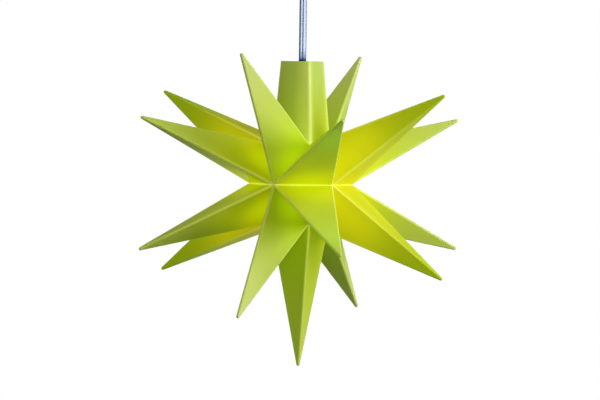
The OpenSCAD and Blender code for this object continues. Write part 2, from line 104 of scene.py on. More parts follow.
# The camera's distance from the middle of the star, in metres, and its lens, in millimetres
CAMERA_DISTANCE = 1.448
LENS = 243.6
# The photograph's size, and where the middle of the star lies in it
PICTURE_WIDTH, PICTURE_HEIGHT = 600, 400
STAR_PIXEL = (300.65, 183.85)


def make_camera():
    back = Vector((math.sin(CAMERA_TURN) * math.cos(CAMERA_RISE),
                   -math.cos(CAMERA_TURN) * math.cos(CAMERA_RISE), math.sin(CAMERA_RISE)))
    right = Vector((math.cos(CAMERA_TURN), math.sin(CAMERA_TURN), 0))
    up = back.cross(right)
    side = right * math.cos(CAMERA_ROLL) + up * math.sin(CAMERA_ROLL)
    top = up * math.cos(CAMERA_ROLL) - right * math.sin(CAMERA_ROLL)
    data = bpy.data.cameras.new("camera")
    data.lens = LENS
    data.shift_x = (PICTURE_WIDTH / 2 - STAR_PIXEL[0]) / PICTURE_WIDTH
    data.shift_y = (STAR_PIXEL[1] - PICTURE_HEIGHT / 2) / PICTURE_WIDTH
    camera = bpy.data.objects.new("camera", data)
    place = Matrix((side, top, back)).transposed().to_4x4()
    place.translation = mm(0, 0, BELT_Z) + back * CAMERA_DISTANCE
    camera.matrix_world = place
    scene.collection.objects.link(camera)
    scene.camera = camera


make_camera()


def mesh_piece(name, vertices, faces, smooth=False):
    mesh = bpy.data.meshes.new(name)
    mesh.from_pydata([tuple(v) for v in vertices], [], faces)
    mesh.validate()
    mesh.update()
    if smooth:
        mesh.shade_smooth()
    piece = bpy.data.objects.new(name, mesh)
    scene.collection.objects.link(piece)
    return piece


# The flat twin flex: two round halves joined along a web, 2.7 mm wide

# Sizes in millimetres: the halves, the cores in them, and how far apart along a core its strands
# come round. The flex's flat side is turned to the camera
HALF_R = 0.72
HALF_SPACING = 1.26
CORE_R = 0.4
STRANDS, STRAND_GAP = 3, 5.0
FLEX_TURN = math.radians(28)
ACROSS = Vector((math.cos(FLEX_TURN), math.sin(FLEX_TURN), 0))
# How far below its upper end the hanging flex's points lie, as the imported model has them, and its
# route, with each stretch between them cut into equal parts
FLEX_STEPS = [0, 6, 12, 18, 24, 30, 34]
STRETCH_PARTS = 3
FLEX_ROUTE = [(0, 0, FLEX_TOP - step - (after - step) * i / STRETCH_PARTS)
              for step, after in zip(FLEX_STEPS, FLEX_STEPS[1:]) for i in range(STRETCH_PARTS)]
FLEX_ROUTE.append((0, 0, FLEX_END))


def flex_outline(steps=24):
    start = math.acos(-HALF_SPACING / 2 / HALF_R)
    points = []
    for half in (0, 1):
        for i in range(steps):
            turn = -start + 2 * start * i / steps + half * math.pi
            centre = HALF_SPACING / 2 * (1 - 2 * half)
            points.append((centre + HALF_R * math.cos(turn), HALF_R * math.sin(turn)))
    return points


def round_outline(radius, steps=16):
    turns = [2 * math.pi * i / steps for i in range(steps)]
    return [(radius * math.cos(turn), radius * math.sin(turn)) for turn in turns]


def eased(corners, gap=0.4, cuts=4):
    """A route with its corners rounded and a point every gap millimetres."""
    route = [Vector(c) for c in corners]
    for _ in range(cuts):
        inner = [p.lerp(q, share) for p, q in zip(route, route[1:]) for share in (0.25, 0.75)]
        route = [route[0]] + inner[1:-1] + [route[-1]]
    runs = [(q - p).length for p, q in zip(route, route[1:])]
    count = max(2, round(sum(runs) / gap))
    made, i, before = [route[0]], 0, 0.0
    for n in range(1, count):
        target = sum(runs) * n / count
        while before + runs[i] < target:
            before += runs[i]
            i += 1
        made.append(route[i].lerp(route[i + 1], (target - before) / runs[i]))
    return made + [route[-1]]


def swept(name, routes, outline, across=ACROSS):
    """Closed tubes along routes in millimetres, which know their own place across and their strands."""
    n = len(outline)
    points, faces, place_across, strands = [], [], [], []
    widest = max(x for x, _ in outline)
    for route in routes:
        first = len(points)
        route = [Vector(p) for p in route]
        run = 0.0
        for i, place in enumerate(route):
            ahead = (route[min(i + 1, len(route) - 1)] - route[max(i - 1, 0)]).normalized()
            side = (across - ahead * across.dot(ahead)).normalized()
            up = ahead.cross(side)
            run += (place - route[i - 1]).length if i else 0.0
            for x, y in outline:
                points.append((place + side * x + up * y) * MM)
                place_across.append(x / widest)
                strands.append(math.cos(STRANDS * math.atan2(y, x) - 2 * math.pi * run / STRAND_GAP))
        last = first + (len(route) - 1) * n
        for ring in range(first, last, n):
            faces += [[ring + j, ring + (j + 1) % n, ring + n + (j + 1) % n, ring + n + j]
                      for j in range(n)]
        faces.append([first + j for j in reversed(range(n))])
        faces.append([last + j for j in range(n)])
    piece = mesh_piece(name, points, faces, smooth=True)
    for label, values in (("across", place_across), ("strand", strands)):
        piece.data.attributes.new(label, "FLOAT", "POINT").data.foreach_set("value", values)
    return piece


hanging_flex = swept("hanging_flex", [FLEX_ROUTE], flex_outline())


# Stage: a pale floor well below the star, white all round it, and soft lamps

# The floor's level and how far it reaches to each side, in millimetres
FLOOR_Z = -1600.0
FLOOR_REACH = 6000.0
# How strong the white world is where only soft light sees it
FILL = 0.02
# The lamps' distance from the middle of the star, in metres
LAMP_DISTANCE = 1.5
COOL, WARM, WHITE = "#edf3ff", "#ffeecb", "#ffffff"
# Each lamp's turn to the right of the camera and rise in degrees, size in metres, watts and colour
LAMPS = {
    "key": (70, 0, 0.9, 15.9, COOL),
    "upper_right": (60, 45, 0.9, 8.2, COOL),
    "front": (0, 0, 0.9, 3.9, WARM),
    "upper_left": (-60, 45, 0.9, 3.1, WARM),
    "left": (-70, 0, 0.9, 1.2, WARM),
    "back": (180, -10, 1.3, 8.0, WHITE),
}


def seen_directly(tree):
    """One for a ray from the camera, a reflection or a refraction, and nothing for soft light."""
    ray = add(tree, "ShaderNodeLightPath").outputs
    either = add(tree, "ShaderNodeMath", {0: ray["Is Camera Ray"], 1: ray["Is Glossy Ray"]},
                 operation="MAXIMUM").outputs[0]
    return add(tree, "ShaderNodeMath", {0: either, 1: ray["Is Transmission Ray"]},
               operation="MAXIMUM").outputs[0]


def matt_paper():
    """Pale matt paper: its own pale tone reaches only what sees it directly, so that the star
    doesn't take its light from the floor."""
    made, tree = new_material("pale_matt_paper")
    place = add(tree, "ShaderNodeTexCoord").outputs["Object"]
    fibres = add(tree, "ShaderNodeTexNoise", {"Vector": place, "Scale": noise_scale(40), "Detail": 4.0})
    tint = add(tree, "ShaderNodeMix", {"Factor": fibres.outputs["Fac"], "A": rgb("#e9e9e7"),
                                       "B": rgb("#f0f0ee")}, data_type="RGBA")
    direct = seen_directly(tree)
    tone = add(tree, "ShaderNodeMix", {"Factor": direct, "A": rgb("#303030"), "B": rgb("#a8a8a6")},
               data_type="RGBA")
    shine = add(tree, "ShaderNodeMath", {0: direct, 1: 0.8}, operation="MULTIPLY")
    shader = add(tree, "ShaderNodeBsdfPrincipled", {
        "Base Color": tone.outputs["Result"], "Roughness": 0.9,
        "Emission Color": tint.outputs["Result"], "Emission Strength": shine.outputs[0]})
    add(tree, "ShaderNodeOutputMaterial", {"Surface": shader.outputs[0]})
    return made


def make_floor():
    corners = [(-1, -1), (1, -1), (1, 1), (-1, 1)]
    floor = mesh_piece("floor", [mm(x * FLOOR_REACH, y * FLOOR_REACH, FLOOR_Z) for x, y in corners],
                       [[0, 1, 2, 3]])
    floor.data.materials.append(matt_paper())


def make_world():
    """White where it is seen directly, and nearly dark for soft light."""
    scene.world = bpy.data.worlds.new("studio")
    scene.world.use_nodes = True
    tree = scene.world.node_tree
    tree.nodes.clear()
    fill = add(tree, "ShaderNodeBackground", {"Color": (1, 1, 1, 1), "Strength": FILL})
    backdrop = add(tree, "ShaderNodeBackground", {"Color": (1, 1, 1, 1), "Strength": 1.0})
    mix = add(tree, "ShaderNodeMixShader", {0: seen_directly(tree), 1: fill.outputs[0],
                                            2: backdrop.outputs[0]})
    add(tree, "ShaderNodeOutputWorld", {"Surface": mix.outputs[0]})


def make_lamp(name, turn, rise, size, watts, colour):
    """A square soft lamp that faces the star."""
    data = bpy.data.lights.new(name, "AREA")
    data.size = size
    data.energy = watts
    data.color = rgb(colour)[:3]
    lamp = bpy.data.objects.new(name, data)
    bearing, up = CAMERA_TURN + math.radians(turn), math.radians(rise)
    towards = Vector((math.sin(bearing) * math.cos(up), -math.cos(bearing) * math.cos(up), math.sin(up)))
    lamp.location = mm(0, 0, BELT_Z) + towards * LAMP_DISTANCE
    lamp.rotation_euler = towards.to_track_quat("Z", "Y").to_euler()
    scene.collection.objects.link(lamp)


make_floor()
make_world()
for name, facts in LAMPS.items():
    make_lamp(name, *facts)


# Materials

# Heights of the lamp's inner pieces, in millimetres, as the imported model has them
LED_TOP = BELT_Z + 6.0
LED_LENGTH = 8.5
RESISTOR_LOW = BELT_Z + 20.0
RESISTOR_LENGTH = 3.4


def moulded(name, tint, shade, cloud, grain, rough, bump, **sockets):
    """Moulded, lacquered or drawn finish: a cloudy tint, an uneven gloss and a raised grain.

    cloud and grain are sizes in millimetres, rough the lowest and highest roughness,
    bump the height of the grain in millimetres. The rest are the shader's own sockets."""
    made, tree = new_material(name)
    place = add(tree, "ShaderNodeTexCoord").outputs["Object"]
    clouds = add(tree, "ShaderNodeTexNoise", {"Vector": place, "Scale": noise_scale(cloud), "Detail": 3.0})
    grains = add(tree, "ShaderNodeTexNoise", {"Vector": place, "Scale": noise_scale(grain), "Detail": 2.0})
    colour = add(tree, "ShaderNodeMix", {"Factor": clouds.outputs["Fac"], "A": rgb(tint), "B": rgb(shade)},
                 data_type="RGBA")
    gloss = add(tree, "ShaderNodeMapRange", {"Value": grains.outputs["Fac"], "From Min": 0.3,
                                             "From Max": 0.7, "To Min": rough[0], "To Max": rough[1]})
    raised = add(tree, "ShaderNodeBump", {"Height": grains.outputs["Fac"], "Distance": bump * MM,
                                          "Strength": 1.0})
    shader = add(tree, "ShaderNodeBsdfPrincipled", {
        "Base Color": colour.outputs["Result"], "Roughness": gloss.outputs["Result"],
        "Normal": raised.outputs["Normal"], **sockets})
    add(tree, "ShaderNodeOutputMaterial", {"Surface": shader.outputs[0]})
    return made


# The star's body, its kinds of points and its neck, and the body colour of each at two distances from the
# middle, in millimetres. The far colours are paler: partly the plastic's own tone, partly a painted sheen
BODY, STEEP, BROAD, FLAT, NECK, HANGING = range(6)
BASE_AT = (20, 65)
BASE = {
    BODY: ("#d0d830", "#e0e070"),
    STEEP: ("#cce024", "#e4e088"),
    BROAD: ("#c4c828", "#e0dc24"),
    FLAT: ("#d0d818", "#d8e468"),
    NECK: ("#d0dc28", "#c4dc8c"),
    HANGING: ("#c8ce1c", "#d6d060"),
}
# Along the ridges a highlight is painted into the colour, which turns paler, and more of the lamp's light is
# painted on as glow, most of all near the lamp: from all of it at the first distance down to a tenth at the
# second
RIDGE_LIGHT_AT = (20, 60)
RIDGE_HIGHLIGHT_TINT, RIDGE_HIGHLIGHT_SHARE = "#eef4a0", 0.30
RIDGE_PAINTED_GLOW = "#3c4326"
# How the lamp inside lights each of them at three distances from the middle, in millimetres
GLOW_AT = (12, 30, 60)
GLOW = {
    STEEP: ("#000000", "#1c3800", "#104c00"),
    BROAD: ("#9c8800", "#586000", "#005c00"),
    FLAT: ("#686000", "#1c3c00", "#003400"),
    NECK: ("#3c5000", "#002e00", "#083000"),
    HANGING: ("#546a00", "#386600", "#1c5e00"),
}
# Soft spots that are added where the light gathers: (place from the middle, width, colour), in
# millimetres. Each is mirrored left and right, front and back, and at the belt
GLOW_SPOTS = [
    ((18, 0, 0), 6, "#402c00"),
    ((18, 8, 0), 10, "#003000"),
    ((22, 12, 4), 6, "#504000"),
    ((9, 16, 7), 6, "#707c00"),
    ((0, 16, 16), 8, "#002c00"),
    ((27, 8, 14), 7, "#746a00"),
    ((36, 16, 14), 10, "#586400"),
    ((13, 29, 15), 5, "#6c6e00"),
]
# Painted light on one side of the star only, mirrored at the belt: more glow painted on the left front face,
# and the right front point painted brighter towards its tip
ONE_SIDED_PAINTED_LIGHT = [
    ((-11, -15, 12), 5, "#503c00"),
    ((30, -37, 20), 9, "#407000"),
]
# The two rims meet in a hair of bare edge, which the lamp brightens. It fades between these
# heights above and below the belt
SEAM_AT = (0.12, 0.42)
SEAM_GLOW = "#6f7440"
# Light is painted on the neck towards its right front corner, brightest at the corner as a painted
# highlight. A stop's place is how far a spot lies to the right, over how far it lies to the front or back,
# from -NECK_REACH to NECK_REACH
NECK_REACH = 2.0
NECK_PAINTED_LIGHT = [(0.25, "#000000"), (0.50, "#283e18"), (0.70, "#747c38"), (0.76, "#84845c"),
             (0.84, "#4c4c34"), (1.0, "#000000")]


def star_tint(tree, place, away, family, ridge_light):
    """The body colour: by kind of point and distance, paler along the ridges with a painted highlight,
    faintly cloudy.
    """
    share = add(tree, "ShaderNodeMath", {0: family, 1: 1 / len(BASE)}, operation="MULTIPLY")
    near, far = [add(tree, "ShaderNodeValToRGB", {"Fac": share.outputs[0]},
                     stops=[(max(0, kind - 0.5) / len(BASE), pair[end]) for kind, pair in BASE.items()])
                 for end in (0, 1)]
    for tones in (near, far):
        tones.color_ramp.interpolation = "CONSTANT"
    # from the near colour to the far one, whose paleness is partly painted sheen
    along = add(tree, "ShaderNodeMapRange", {"Value": away, "From Min": BASE_AT[0] * MM,
                                             "From Max": BASE_AT[1] * MM})
    body = add(tree, "ShaderNodeMix", {"Factor": along.outputs[0], "A": near.outputs["Color"],
                                       "B": far.outputs["Color"]}, data_type="RGBA")
    # painted highlight: the ridges are turned paler
    edge = add(tree, "ShaderNodeMath", {0: ridge_light, 1: RIDGE_HIGHLIGHT_SHARE}, operation="MULTIPLY")
    edged = add(tree, "ShaderNodeMix", {"Factor": edge.outputs[0], "A": body.outputs["Result"],
                                        "B": rgb(RIDGE_HIGHLIGHT_TINT)}, data_type="RGBA")
    clouds = add(tree, "ShaderNodeTexNoise", {"Vector": place, "Scale": noise_scale(14), "Detail": 3.0})
    cloudy = add(tree, "ShaderNodeMapRange", {"Value": clouds.outputs["Fac"], "To Min": 0.97,
                                              "To Max": 1.03})
    return add(tree, "ShaderNodeVectorMath", {0: edged.outputs["Result"], "Scale": cloudy.outputs[0]},
               operation="SCALE").outputs[0]


def brighter(tree, glow, colour, share):
    """A glow, or none yet, with one more light on it: a colour times a share."""
    light = add(tree, "ShaderNodeVectorMath", {0: colour, "Scale": share}, operation="SCALE").outputs[0]
    if glow is None:
        return light
    return add(tree, "ShaderNodeVectorMath", {0: glow, 1: light}, operation="ADD").outputs[0]


def star_glow(tree, middle, away, family, ridge_light):
    """The lamp's light painted into the wall from the tables above, with painted light on one side, along
    the ridges and on the neck's right front corner.
    """
    glow = None
    reach = add(tree, "ShaderNodeMath", {0: away, 1: 1 / (GLOW_AT[-1] * MM)}, operation="MULTIPLY")
    for kind, colours in GLOW.items():
        lit = add(tree, "ShaderNodeValToRGB", {"Fac": reach.outputs[0]},
                  stops=[(at / GLOW_AT[-1], colour) for at, colour in zip(GLOW_AT, colours)])
        own = add(tree, "ShaderNodeMath", {0: family, 1: float(kind), 2: 0.5}, operation="COMPARE")
        glow = brighter(tree, glow, lit.outputs["Color"], own.outputs[0])
    mirrored = add(tree, "ShaderNodeVectorMath", {0: middle}, operation="ABSOLUTE").outputs[0]
    side = add(tree, "ShaderNodeSeparateXYZ", {0: middle}).outputs
    either_side = add(tree, "ShaderNodeSeparateXYZ", {0: mirrored}).outputs
    folded = add(tree, "ShaderNodeCombineXYZ", {0: side["X"], 1: side["Y"], 2: either_side["Z"]})
    spots = [(mirrored, *spot) for spot in GLOW_SPOTS]
    # painted light on one side of the star only
    spots += [(folded.outputs[0], *spot) for spot in ONE_SIDED_PAINTED_LIGHT]
    for source, spot, width, colour in spots:
        gap = add(tree, "ShaderNodeVectorMath", {0: source, 1: mm(*spot)}, operation="DISTANCE")
        squared = add(tree, "ShaderNodeMath", {0: gap.outputs["Value"], 1: 2.0}, operation="POWER")
        spread = add(tree, "ShaderNodeMath", {0: squared.outputs[0], 1: -0.5 / (width * MM) ** 2},
                     operation="MULTIPLY")
        fade = add(tree, "ShaderNodeMath", {0: spread.outputs[0]}, operation="EXPONENT")
        glow = brighter(tree, glow, rgb(colour)[:3], fade.outputs[0])
    seam = add(tree, "ShaderNodeMapRange", {"Value": either_side["Z"], "From Min": SEAM_AT[0] * MM,
                                            "From Max": SEAM_AT[1] * MM, "To Min": 1.0, "To Max": 0.0})
    # painted light on the neck, brightest at its right front corner as a painted highlight
    around = add(tree, "ShaderNodeMath", {0: side["X"], 1: either_side["Y"]}, operation="DIVIDE")
    corner = add(tree, "ShaderNodeMapRange", {"Value": around.outputs[0], "From Min": -NECK_REACH,
                                              "From Max": NECK_REACH})
    neck_light = add(tree, "ShaderNodeValToRGB", {"Fac": corner.outputs[0]}, stops=NECK_PAINTED_LIGHT)
    neck = add(tree, "ShaderNodeMath", {0: family, 1: float(NECK), 2: 0.5}, operation="COMPARE")
    glow = brighter(tree, glow, rgb(SEAM_GLOW)[:3], seam.outputs[0])
    # painted glow along the ridges
    glow = brighter(tree, glow, rgb(RIDGE_PAINTED_GLOW)[:3], ridge_light)
    return brighter(tree, glow, neck_light.outputs["Color"], neck.outputs[0])


def star_plastic():
    """Satin moulded polyethylene, lit from inside by the lamp in the middle."""
    made, tree = new_material("moulded_polyethylene_star")
    place = add(tree, "ShaderNodeTexCoord").outputs["Object"]
    middle = add(tree, "ShaderNodeVectorMath", {0: place, 1: mm(0, 0, BELT_Z)},
                 operation="SUBTRACT").outputs[0]
    away = add(tree, "ShaderNodeVectorMath", {0: middle}, operation="LENGTH").outputs["Value"]
    family = add(tree, "ShaderNodeAttribute", attribute_name="family_of_face").outputs["Fac"]
    ridge = add(tree, "ShaderNodeAttribute", attribute_name="ridge").outputs["Fac"]
    # the share of the ridges' painted highlight and glow, fading away from the middle
    nearness = add(tree, "ShaderNodeMapRange", {"Value": away, "From Min": RIDGE_LIGHT_AT[0] * MM,
                                                "From Max": RIDGE_LIGHT_AT[1] * MM, "To Min": 1.0, "To Max": 0.1})
    ridge_light = add(tree, "ShaderNodeMath", {0: ridge, 1: nearness.outputs[0]}, operation="MULTIPLY").outputs[0]
    grains = add(tree, "ShaderNodeTexNoise", {"Vector": place, "Scale": noise_scale(0.6), "Detail": 2.0})
    gloss = add(tree, "ShaderNodeMapRange", {"Value": grains.outputs["Fac"], "To Min": 0.40,
                                             "To Max": 0.50})
    raised = add(tree, "ShaderNodeBump", {"Height": grains.outputs["Fac"], "Distance": 0.002 * MM,
                                          "Strength": 0.3})
    shader = add(tree, "ShaderNodeBsdfPrincipled", {
        "Base Color": star_tint(tree, place, away, family, ridge_light), "Roughness": gloss.outputs[0],
        "Normal": raised.outputs[0], "Specular IOR Level": 0.0, "Coat Weight": 0.08, "Coat Roughness": 0.3,
        "Emission Color": star_glow(tree, middle, away, family, ridge_light), "Emission Strength": 1.0})
    add(tree, "ShaderNodeOutputMaterial", {"Surface": shader.outputs[0]})
    return made


# The levels between which the flex dips into the neck, where painted shade darkens it
DIP_TOP, DIP_LOW = FLEX_END + 4.5, FLEX_END + 0.4
# What shows across the flex, from its left edge to its right: slate edges and a slate groove, which are
# painted shade, and pale halves, the cores seen through the vinyl
FLEX_CORES_AND_SHADE = [(0.0, "#0c1822"), (0.20, "#24384a"), (0.28, "#b8d0ea"), (0.37, "#bcd0ea"),
              (0.45, "#5470a0"), (0.57, "#7490c4"), (0.66, "#d8e2fe"), (0.82, "#b4c0e6"),
              (1.0, "#3c4870")]


def clear_flex():
    """Clear extruded vinyl round two stranded cores: it lets the white behind it through, with painted
    shade along its sides. Where it dips into the neck, painted shade turns it deep blue."""
    made, tree = new_material("clear_vinyl_flex")
    place = add(tree, "ShaderNodeTexCoord").outputs["Object"]
    across = add(tree, "ShaderNodeAttribute", attribute_name="across")
    share = add(tree, "ShaderNodeMapRange", {"Value": across.outputs["Fac"], "From Min": -1.0,
                                             "From Max": 1.0})
    # painted shade at the flex's sides and groove, with the cores between
    bands = add(tree, "ShaderNodeValToRGB", {"Fac": share.outputs[0]}, stops=FLEX_CORES_AND_SHADE)
    height = add(tree, "ShaderNodeSeparateXYZ", {0: place}).outputs["Z"]
    # painted shade where the flex dips into the neck
    low = add(tree, "ShaderNodeMapRange", {"Value": height, "From Min": DIP_TOP * MM,
                                           "From Max": DIP_LOW * MM, "To Max": 0.9})
    tint = add(tree, "ShaderNodeMix", {"Factor": low.outputs[0], "A": bands.outputs["Color"],
                                       "B": rgb("#2a4a86")}, data_type="RGBA")
    draw = add(tree, "ShaderNodeTexNoise", {"Vector": place, "Scale": noise_scale(9.0), "Detail": 1.0})
    gloss = add(tree, "ShaderNodeMapRange", {"Value": draw.outputs["Fac"], "To Min": 0.06, "To Max": 0.12})
    shader = add(tree, "ShaderNodeBsdfPrincipled", {
        "Base Color": tint.outputs["Result"], "Roughness": gloss.outputs[0], "IOR": 1.53,
        "Specular IOR Level": 0.2, "Transmission Weight": 0.6})
    add(tree, "ShaderNodeOutputMaterial", {"Surface": shader.outputs[0]})
    return made


def core_vinyl():
    """Thin vinyl drawn over twisted strands, which show through it as slanting pale and slate lines."""
    made, tree = new_material("drawn_vinyl_over_strands")
    strand = add(tree, "ShaderNodeAttribute", attribute_name="strand")
    share = add(tree, "ShaderNodeMapRange", {"Value": strand.outputs["Fac"], "From Min": -1.0,
                                             "From Max": 1.0}).outputs[0]
    tint = add(tree, "ShaderNodeValToRGB", {"Fac": share},
               stops=[(0.0, "#7f8fa6"), (0.5, "#b6c0d2"), (1.0, "#dfe5ef")])
    gloss = add(tree, "ShaderNodeMapRange", {"Value": share, "To Min": 0.32, "To Max": 0.20})
    raised = add(tree, "ShaderNodeBump", {"Height": share, "Distance": 0.03 * MM, "Strength": 0.7})
    shader = add(tree, "ShaderNodeBsdfPrincipled", {
        "Base Color": tint.outputs["Color"], "Roughness": gloss.outputs[0],
        "Normal": raised.outputs["Normal"]})
    add(tree, "ShaderNodeOutputMaterial", {"Surface": shader.outputs[0]})
    return made


# The resistor's painted rings, along its body. They are drawn a little wide, because real ones are
# too fine to show
RINGS = [(0.0, "#cdb289"), (0.12, "#8a5a2c"), (0.24, "#cdb289"), (0.36, "#1d1c1b"), (0.46, "#cdb289"),
         (0.56, "#b4552c"), (0.66, "#cdb289"), (0.80, "#b99643"), (0.90, "#cdb289")]


def lacquered_resistor():
    """Dipped tan lacquer with painted rings, on tinned leads."""
    made, tree = new_material("dipped_lacquer_on_tinned_leads")
    place = add(tree, "ShaderNodeTexCoord").outputs["Object"]
    height = add(tree, "ShaderNodeSeparateXYZ", {0: place}).outputs["Z"]
    up = add(tree, "ShaderNodeMapRange", {
        "Value": height, "From Min": RESISTOR_LOW * MM,
        "From Max": (RESISTOR_LOW + RESISTOR_LENGTH) * MM}, clamp=False).outputs[0]
    above = add(tree, "ShaderNodeMath", {0: up, 1: -0.001}, operation="GREATER_THAN")
    below = add(tree, "ShaderNodeMath", {0: up, 1: 1.001}, operation="LESS_THAN")
    body = add(tree, "ShaderNodeMath", {0: above.outputs[0], 1: below.outputs[0]}, operation="MULTIPLY")
    lead = add(tree, "ShaderNodeMath", {0: 1.0, 1: body.outputs[0]}, operation="SUBTRACT")
    painted = add(tree, "ShaderNodeValToRGB", {"Fac": up}, stops=RINGS)
    painted.color_ramp.interpolation = "CONSTANT"
    tint = add(tree, "ShaderNodeMix", {"Factor": body.outputs[0], "A": rgb("#c8c8ca"),
                                       "B": painted.outputs["Color"]}, data_type="RGBA")
    runs = add(tree, "ShaderNodeTexNoise", {"Vector": place, "Scale": noise_scale(0.5)})
    gloss = add(tree, "ShaderNodeMapRange", {"Value": runs.outputs["Fac"], "To Min": 0.2, "To Max": 0.4})
    raised = add(tree, "ShaderNodeBump", {"Height": runs.outputs["Fac"], "Distance": 0.01 * MM,
                                          "Strength": 0.5})
    shader = add(tree, "ShaderNodeBsdfPrincipled", {
        "Base Color": tint.outputs["Result"], "Metallic": lead.outputs[0], "Roughness": gloss.outputs[0],
        "Normal": raised.outputs["Normal"]})
    add(tree, "ShaderNodeOutputMaterial", {"Surface": shader.outputs[0]})
    return made


def lit_lens():
    """Cast epoxy with the chip's light in it: warm all over, whitest in its dome."""
    made, tree = new_material("cast_epoxy_lens_lit")
    place = add(tree, "ShaderNodeTexCoord").outputs["Object"]
    height = add(tree, "ShaderNodeSeparateXYZ", {0: place}).outputs["Z"]
    down = add(tree, "ShaderNodeMapRange", {"Value": height, "From Min": LED_TOP * MM,
                                            "From Max": (LED_TOP - LED_LENGTH) * MM})
    light = add(tree, "ShaderNodeValToRGB", {"Fac": down.outputs[0]},
                stops=[(0.0, "#c89a4e"), (0.35, "#ffd98a"), (0.75, "#fff0cc"), (1.0, "#fff7e6")])
    swirl = add(tree, "ShaderNodeTexNoise", {"Vector": place, "Scale": noise_scale(2.5)})
    tint = add(tree, "ShaderNodeMix", {"Factor": swirl.outputs["Fac"], "A": rgb("#fff3d6"),
                                       "B": rgb("#ffe9bd")}, data_type="RGBA")
    gloss = add(tree, "ShaderNodeMapRange", {"Value": swirl.outputs["Fac"], "To Min": 0.06, "To Max": 0.14})
    shader = add(tree, "ShaderNodeBsdfPrincipled", {
        "Base Color": tint.outputs["Result"], "Roughness": gloss.outputs[0], "IOR": 1.53,
        "Emission Color": light.outputs["Color"], "Emission Strength": 0.9})
    add(tree, "ShaderNodeOutputMaterial", {"Surface": shader.outputs[0]})
    return made


FINISHES = {
    "star_plastic": star_plastic(),
    "clear_flex": clear_flex(),
    "core_insulation": core_vinyl(),
    # white enamel stoved on spun steel: hard and glossy, with a faint orange peel
    "cup_enamel": moulded("stoved_enamel_on_spun_steel", "#f2f2ef", "#ecece8", 25, 1.8, (0.20, 0.28), 0.006,
                          **{"Coat Weight": 0.4, "Coat Roughness": 0.08}),
    # bright zinc plate: bluish grey metal with a cloudy sheen
    "plated_steel": moulded("bright_zinc_plated_steel", "#c9ccd2", "#b7bac0", 5, 0.5, (0.26, 0.42), 0.006,
                            Metallic=1.0),
    # brass turned from bar: warm, with fine tool marks
    "brass": moulded("turned_brass", "#d2aa5c", "#c09645", 3, 0.3, (0.22, 0.36), 0.006, Metallic=1.0),
    # nylon moulded white: milky and silky, with a fine spark texture
    "white_nylon": moulded("moulded_white_nylon", "#eeeeea", "#e8e8e3", 8, 0.4, (0.38, 0.48), 0.0015),
    # ABS moulded white: cleaner white and glossier than the nylon
    "white_abs": moulded("moulded_white_abs", "#f1f1ed", "#edede8", 10, 0.8, (0.26, 0.32), 0.001),
    # rubber moulded black: dull, with a bloom of paler dust
    "black_rubber": moulded("moulded_black_rubber", "#151516", "#232324", 2, 0.3, (0.60, 0.78), 0.01),
    "resistor_lacquer": lacquered_resistor(),
    # polyolefin sleeve shrunk with hot air: black, satin, slightly wrinkled
    "shrink_tube": moulded("heat_shrunk_black_sleeve", "#1b1b1d", "#27272a", 1.5, 0.8, (0.42, 0.58), 0.03),
    # copper wire dipped in tin: pale soft metal
    "tinned_wire": moulded("dipped_tinned_copper", "#cfcfd1", "#bcbcc0", 1.5, 0.3, (0.28, 0.44), 0.006,
                           Metallic=1.0),
    "lamp_lens": lit_lens(),
}


# The star: every shell is a list of convex steps that Geometry Nodes carry out

# Sizes of the star, in millimetres and degrees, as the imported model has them
POINT_REACH = 65.0
STEEP_RISE, BROAD_RISE, FLAT_RISE, FLAT_TURN = 44.8, 29.8, 21.0, 41.0
RIDGE_ROUND = 0.6
BELT_FAR, BELT_NEAR, BELT_TURN = 21.7, 18.7, 24.0
ROOF_CORNER, ROOF_HEIGHT = 11.0, 14.4
WALL = 0.9
LIP_HEIGHT, LIP_WALL, LIP_BITE, LIP_RELIEF, LOCATE_GAP = 1.2, 0.7, 0.2, 0.15, 0.1
NECK_HEIGHT, NECK_CORNER, NECK_ROUND = 43.7, 8.3, 0.8
NECK_ROOT, NECK_HOLLOW_ROOT = 3.0, 6.0
BELT_BAND, CORE_SINK, CAVITY_WALLS = 0.1, 0.6, 1.4
# A reach past everything, and how far the cuts run on past the neck's mouth and the lip's edges
BEYOND = 100.0
MOUTH_OVERRUN, LIP_OVERRUN = 1.0, 0.1
# How far past its reach a point's sides are taken to meet
TIP_OVER = 2.0
# What a step does to the shell: adds to it, cuts it, or keeps only what lies inside the step
GROW, CUT, KEEP = 0, 1, 2
# What stands at a step's corner: nothing, a ball, or an upright post of this length
SHARP, BALL, POST = 0, 1, 2
POST_LENGTH = 0.01
# A face with less area than this, in square metres, is a facet of a rounded ridge
RIDGE_FACET = 12e-6
# An edge that bends by more than this, in degrees, is shaded as sharp
CREASE = 25
UP = Vector((0, 0, 1))
CORNER_TURNS = (45, 135, 225, 315)
# What each corner tells the shell's tree
NOTES = {"step": "INT", "action": "INT", "family": "INT", "inward": "FLOAT_VECTOR", "ridges_back": "FLOAT",
         "walls_back": "FLOAT", "corner": "INT"}


def turned(reach, turn, height=0.0):
    return Vector((reach * math.sin(math.radians(turn)), -reach * math.cos(math.radians(turn)), height))


def aim(turn, rise):
    return turned(math.cos(math.radians(rise)), turn, math.sin(math.radians(rise)))


def roof(turn):
    return turned(ROOF_CORNER, turn, ROOF_HEIGHT)


